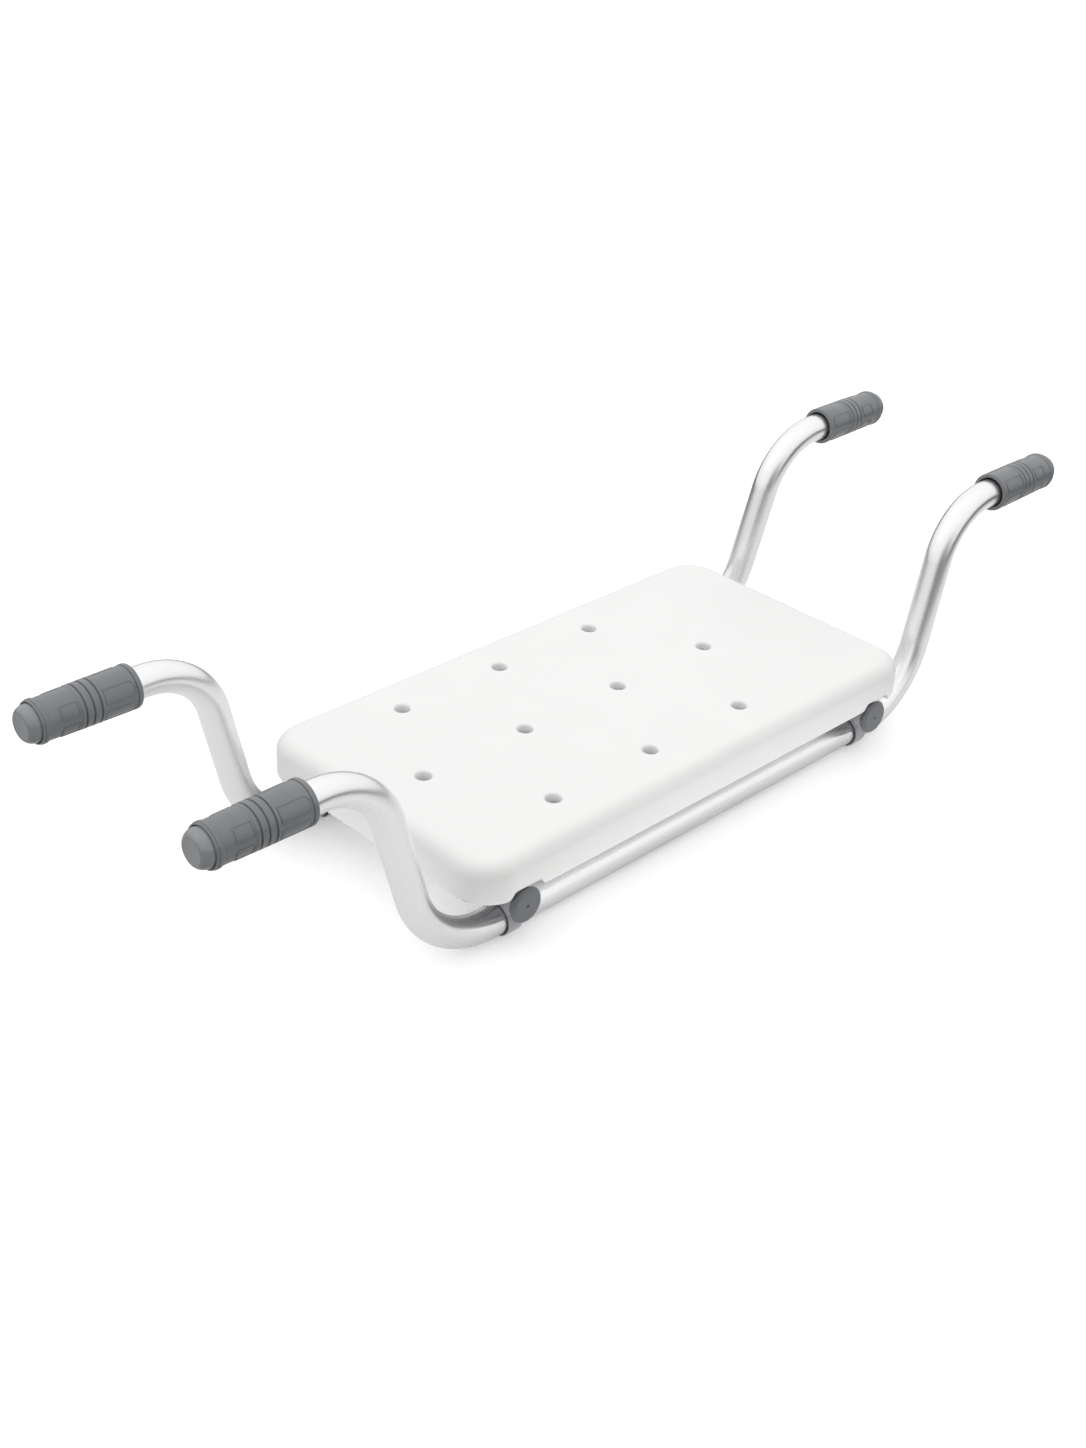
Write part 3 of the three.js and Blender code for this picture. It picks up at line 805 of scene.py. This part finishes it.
cap_plastic = moulded_material(
    "dark grey cap plastic", tone=(0.115, 0.122, 0.132), rubbed=(0.105, 0.111, 0.12),
    smoothest=0.25, roughest=0.34, grain_scale=2000, grain=0.2, sink=0.03,
)
cap = spun([
    (0, cap_cavity_depth),
    (cap_cavity, cap_cavity_depth),
    (cap_cavity, -spigot_length),
    (spigot_radius, -spigot_length),
    (spigot_radius, 0),
    (cap_radius - cap_undercut, 0),
    (cap_radius - cap_undercut, cap_thickness - cap_rim - 3 * edge_ease),
    (cap_radius - 2 * edge_ease, cap_thickness - cap_rim),
    (cap_radius, cap_thickness - cap_rim + 2 * edge_ease),
    (cap_radius, cap_thickness - cap_chamfer - 2 * edge_ease),
    (cap_radius - edge_ease, cap_thickness - cap_chamfer),
    (cap_radius - cap_chamfer, cap_thickness - edge_ease),
    (cap_radius - cap_chamfer - 3 * edge_ease, cap_thickness),
    (cap_radius / 2, cap_thickness + cap_crown * 0.75),
    (mark_radius + mark_ring, cap_thickness + cap_crown),
    (mark_radius + mark_ring * 0.7, cap_thickness + cap_crown + mark_ring_height),
    (mark_radius + mark_ring * 0.3, cap_thickness + cap_crown + mark_ring_height),
    (mark_radius, cap_thickness + cap_crown - mark_ring_height),
    (mark_radius * 0.8, cap_thickness + cap_crown - mark_depth),
    (0, cap_thickness + cap_crown - mark_depth),
], steps=64)
for place, (matrix, towards) in places.items():
    at = matrix @ Matrix.Translation((towards * clamp_x, -boss_face - clearance, bolt_rise))
    fitted(f"{place}_cap_disc", copied(cap, at @ forwards), cap_plastic, f"{place}_cap")
cap.free()

# Clamp bolts, nuts and seat screws. Zinc-plated steel: an M4 bolt with a socket head behind each
# cap, its nut in the clamp's inner side, and two pan-head screws up through each flange.
bolt_radius = 2 * mm
bolt_head = 4 * mm
bolt_head_height = 2.8 * mm
bolt_socket = 1.5 * mm
bolt_past = 1.5 * mm
bolt_pitch = 0.8 * mm
thread_depth = 0.35 * mm
point_share = 0.35
head_round = 0.55
nut_flats = 3.5 * mm
nut_chamfer = 0.55 * mm
nut_face = 0.98 * nut_flats
nut_swell = 1.22 * nut_flats
screw_radius = 2 * mm
screw_head = 4 * mm
screw_head_height = 2.4 * mm
screw_depth = 12 * mm
screw_tip = 1.6 * mm
screw_pitch = 1.4 * mm
drive_depth = 1.6 * mm
drive_half = 0.5 * mm
drive_reach = 2.1 * mm

zinc_tone = (0.56, 0.565, 0.575)
zinc_bright_tone = (0.66, 0.66, 0.655)
zinc_smoothest = 0.28
zinc_roughest = 0.5
spangle_scale = 700
spangle_detail = 5

zinc, nodes, links = new_material("zinc-plated steel")
plating = nodes["Principled BSDF"]
plating.inputs["Metallic"].default_value = 1
spangle = nodes.new("ShaderNodeTexNoise")
spangle.inputs["Scale"].default_value = spangle_scale
spangle.inputs["Detail"].default_value = spangle_detail
links.new(nodes.new("ShaderNodeTexCoord").outputs["Object"], spangle.inputs["Vector"])
tint = nodes.new("ShaderNodeMix")
tint.data_type = "RGBA"
tint.inputs["A"].default_value = (*zinc_tone, 1)
tint.inputs["B"].default_value = (*zinc_bright_tone, 1)
links.new(spangle.outputs["Fac"], tint.inputs["Factor"])
links.new(tint.outputs["Result"], plating.inputs["Base Color"])
dull = nodes.new("ShaderNodeMapRange")
dull.inputs["To Min"].default_value = zinc_smoothest
dull.inputs["To Max"].default_value = zinc_roughest
links.new(spangle.outputs["Fac"], dull.inputs["Value"])
links.new(dull.outputs["Result"], plating.inputs["Roughness"])


def threaded(radius, head, head_height, length, tip, pitch):
    """A fastener turned round Z, with its head above zero and rings for its thread."""
    rings = []
    station = tip - length
    while station < -2 * pitch:
        rings += [(radius - thread_depth, station), (radius, station + pitch / 2)]
        station += pitch
    dome = head_height * head_round
    return spun([
        (0, -length),
        (radius * point_share, -length),
        *rings,
        (radius, -pitch),
        (radius, 0),
        (head, 0),
        *arc((head - dome, head_height - dome), (dome, dome), 0, 90, steps=6),
        (0, head_height),
    ], steps=32)


bolt_seat = boss_face - spigot_seat_depth + clearance
upright_here = Matrix.Identity(4)
bolt = threaded(
    bolt_radius, bolt_head, bolt_head_height, length=bolt_seat + ring_radius + bolt_past,
    tip=bolt_pitch, pitch=bolt_pitch,
)
socket = hexagon(
    bolt_socket, bolt_head_height - drive_depth, bolt_head_height + overrun, upright_here,
)
bolt = worked("DIFFERENCE", bolt, [socket])

nut = hexagon(nut_flats, -nut_height / 2, nut_height / 2, upright_here)
crown = spun([
    (0, -nut_height / 2 - overrun),
    (nut_face - overrun, -nut_height / 2 - overrun),
    (nut_swell, -nut_height / 2 + nut_chamfer),
    (nut_swell, nut_height / 2 - nut_chamfer),
    (nut_face - overrun, nut_height / 2 + overrun),
    (0, nut_height / 2 + overrun),
], steps=48)
nut = worked("INTERSECT", nut, [crown])
nut = worked("DIFFERENCE", nut, [rod(bolt_hole, -nut_height, nut_height, 32, upright_here)])

screw = threaded(
    screw_radius, screw_head, screw_head_height, length=screw_depth + flange_thickness,
    tip=screw_tip, pitch=screw_pitch,
)
for turn in (0, 90):
    arm = block(
        (-drive_half, -drive_reach, screw_head_height - drive_depth),
        (drive_half, drive_reach, screw_head_height + overrun),
    )
    moved(arm, Matrix.Rotation(math.radians(turn), 4, "Z"))
    screw = worked("DIFFERENCE", screw, [arm])

downwards = Matrix.Rotation(math.pi, 4, "X")
for place, (matrix, towards) in places.items():
    at = matrix @ Matrix.Translation((towards * clamp_x, 0, 0))
    bolt_at = at @ Matrix.Translation((0, -bolt_seat, bolt_rise)) @ forwards
    nut_at = at @ Matrix.Translation((0, ring_radius - nut_height / 2, bolt_rise)) @ forwards
    fitted(f"{place}_bolt", copied(bolt, bolt_at), zinc, f"{place}_clamp_bolt", crease=25)
    fitted(f"{place}_nut", copied(nut, nut_at), zinc, f"{place}_clamp_nut", crease=25)
    for hand, step in (("a", -0.5), ("b", 0.5)):
        seat = (step * screw_spacing, screw_inset, flange_top - flange_thickness - clearance)
        screw_at = at @ Matrix.Translation(seat) @ downwards
        fitted(f"{place}_screw_{hand}", copied(screw, screw_at), zinc,
               f"{place}_seat_screw_{hand}", crease=25)
bolt.free()
nut.free()
screw.free()

# Studio floor. A seamless white sheet; it isn't part of the seat. It glows a little, so that the
# shadows stay pale. What it throws back up is dimmed under the board and fades further out, as from
# a lit sheet in a dim room, which leaves the undersides dark and puts dark streaks in the tubes.
floor_half = 14
floor_tone = 0.92
floor_roughness = 0.9
floor_specular = 0.1
floor_glow = 0.2
glow_to_walls = 0.75
glow_in_gloss = 0.05

ground = bmesh.new()
bmesh.ops.create_grid(ground, x_segments=1, y_segments=1, size=floor_half)
mesh = bpy.data.meshes.new("studio_floor")
ground.to_mesh(mesh)
ground.free()
floor = bpy.data.objects.new("studio_floor", mesh)
bpy.context.scene.collection.objects.link(floor)
sheet, nodes, links = new_material("white studio sheet")
paper = nodes["Principled BSDF"]
paper.inputs["Base Color"].default_value = (floor_tone, floor_tone, floor_tone, 1)
paper.inputs["Roughness"].default_value = floor_roughness
paper.inputs["Specular IOR Level"].default_value = floor_specular
paper.inputs["Emission Color"].default_value = (1, 1, 1, 1)
paper.inputs["Emission Strength"].default_value = floor_glow
rays = nodes.new("ShaderNodeLightPath")
middle_of_floor = nodes.new("ShaderNodeTexCoord").outputs["Object"]


def thrown_back(stretch, near, far, share_near, share_far):
    """A share of the sheet's light that changes from near the seat's middle to far from it."""
    squeezed = nodes.new("ShaderNodeMapping")
    squeezed.inputs["Scale"].default_value = (1 / stretch, 1, 1)
    links.new(middle_of_floor, squeezed.inputs["Vector"])
    distance = nodes.new("ShaderNodeVectorMath")
    distance.operation = "LENGTH"
    links.new(squeezed.outputs["Vector"], distance.inputs[0])
    fade = nodes.new("ShaderNodeMapRange")
    fade.interpolation_type = "SMOOTHSTEP"
    fade.inputs["From Min"].default_value = near
    fade.inputs["From Max"].default_value = far
    fade.inputs["To Min"].default_value = share_near
    fade.inputs["To Max"].default_value = share_far
    links.new(distance.outputs["Value"], fade.inputs["Value"])
    return fade.outputs["Result"]


# The camera sees the plain sheet. Rays that light the seat, or that it mirrors, meet a faded one.
share = nodes.new("ShaderNodeMix")
links.new(rays.outputs["Is Glossy Ray"], share.inputs["Factor"])
to_walls = thrown_back(stretch=1.3, near=0.20, far=0.27, share_near=1, share_far=0.08)
in_gloss = thrown_back(stretch=1.6, near=0.35, far=0.75, share_near=0.8, share_far=0.05)
links.new(to_walls, share.inputs["A"])
links.new(in_gloss, share.inputs["B"])
lit = nodes.new("ShaderNodeBsdfDiffuse")
lit.inputs["Color"].default_value = (floor_tone, floor_tone, floor_tone, 1)
glow = nodes.new("ShaderNodeEmission")
glow_level = nodes.new("ShaderNodeMix")
glow_level.inputs["A"].default_value = glow_to_walls
glow_level.inputs["B"].default_value = glow_in_gloss
links.new(rays.outputs["Is Glossy Ray"], glow_level.inputs["Factor"])
open_glow = nodes.new("ShaderNodeMath")
open_glow.operation = "MULTIPLY"
from_under = thrown_back(stretch=2, near=0.085, far=0.135, share_near=0.35, share_far=1)
links.new(from_under, open_glow.inputs[0])
links.new(glow_level.outputs["Result"], open_glow.inputs[1])
links.new(open_glow.outputs["Value"], glow.inputs["Strength"])
both = nodes.new("ShaderNodeAddShader")
links.new(lit.outputs["BSDF"], both.inputs[0])
links.new(glow.outputs["Emission"], both.inputs[1])
dark = nodes.new("ShaderNodeBsdfDiffuse")
dark.inputs["Color"].default_value = (0, 0, 0, 1)
faded = nodes.new("ShaderNodeMixShader")
links.new(share.outputs["Result"], faded.inputs["Fac"])
links.new(dark.outputs["BSDF"], faded.inputs[1])
links.new(both.outputs["Shader"], faded.inputs[2])
seen = nodes.new("ShaderNodeMixShader")
links.new(rays.outputs["Is Camera Ray"], seen.inputs["Fac"])
links.new(faded.outputs["Shader"], seen.inputs[1])
links.new(paper.outputs["BSDF"], seen.inputs[2])
links.new(seen.outputs["Shader"], nodes["Material Output"].inputs["Surface"])
mesh.materials.append(sheet)

# Soft studio light: a white tent all round, a little brighter overhead and open to a dim room
# behind the camera, and one weak soft lamp high behind the left end.
tent_level = 1.0
tent_overhead = 1.18
tent_gap = 0.3
tent_gap_towards = (-0.45, -0.89, 0)
tent_gap_inner = 0.2
tent_gap_outer = 0.6
lamp_direction = (-0.5, 0.35, 0.8)
lamp_strength = 0.2
lamp_softness = math.radians(30)

tent = bpy.data.worlds.new("white tent")
tent.use_nodes = True
nodes, links = tent.node_tree.nodes, tent.node_tree.links
height = nodes.new("ShaderNodeSeparateXYZ")
direction = nodes.new("ShaderNodeTexCoord").outputs["Generated"]
links.new(direction, height.inputs["Vector"])
rising = nodes.new("ShaderNodeMapRange")
rising.inputs["To Min"].default_value = tent_level
rising.inputs["To Max"].default_value = tent_overhead
links.new(height.outputs["Z"], rising.inputs["Value"])
aside = nodes.new("ShaderNodeVectorMath")
aside.operation = "DISTANCE"
aside.inputs[1].default_value = tent_gap_towards
links.new(direction, aside.inputs[0])
opening = nodes.new("ShaderNodeMapRange")
opening.interpolation_type = "SMOOTHSTEP"
opening.inputs["From Min"].default_value = tent_gap_inner
opening.inputs["From Max"].default_value = tent_gap_outer
opening.inputs["To Min"].default_value = tent_gap
links.new(aside.outputs["Value"], opening.inputs["Value"])
level = nodes.new("ShaderNodeMath")
level.operation = "MULTIPLY"
links.new(rising.outputs["Result"], level.inputs[0])
links.new(opening.outputs["Result"], level.inputs[1])
links.new(level.outputs["Value"], nodes["Background"].inputs["Strength"])
nodes["Background"].inputs["Color"].default_value = (1, 1, 1, 1)
bpy.context.scene.world = tent

lamp = bpy.data.lights.new("high lamp", "SUN")
lamp.energy = lamp_strength
lamp.angle = lamp_softness
stand = bpy.data.objects.new("high lamp", lamp)
bpy.context.scene.collection.objects.link(stand)
stand.matrix_world = Vector(lamp_direction).to_track_quat("Z", "Y").to_matrix().to_4x4()

# Camera, as the photograph was taken: high in front of the left end, rolled a little. Its place
# and its lens were found by fitting the seat's outlines.
view_from = (-0.84787, -0.75680, 0.71761)
view_azimuth = math.radians(-46.28)
view_elevation = math.radians(30.85)
view_roll = math.radians(3.29)
sensor_width = 36
lens_length = 47.963

camera = bpy.data.cameras.new("camera")
camera.sensor_fit = "AUTO"
camera.sensor_width = sensor_width
camera.lens = lens_length
viewer = bpy.data.objects.new("camera", camera)
bpy.context.scene.collection.objects.link(viewer)
viewer.matrix_world = (
    Matrix.Translation(view_from)
    @ Matrix.Rotation(view_azimuth, 4, "Z")
    @ Matrix.Rotation(math.pi / 2 - view_elevation, 4, "X")
    @ Matrix.Rotation(view_roll, 4, "Z")
)
bpy.context.scene.camera = viewer
bpy.context.scene.view_settings.view_transform = "Standard"
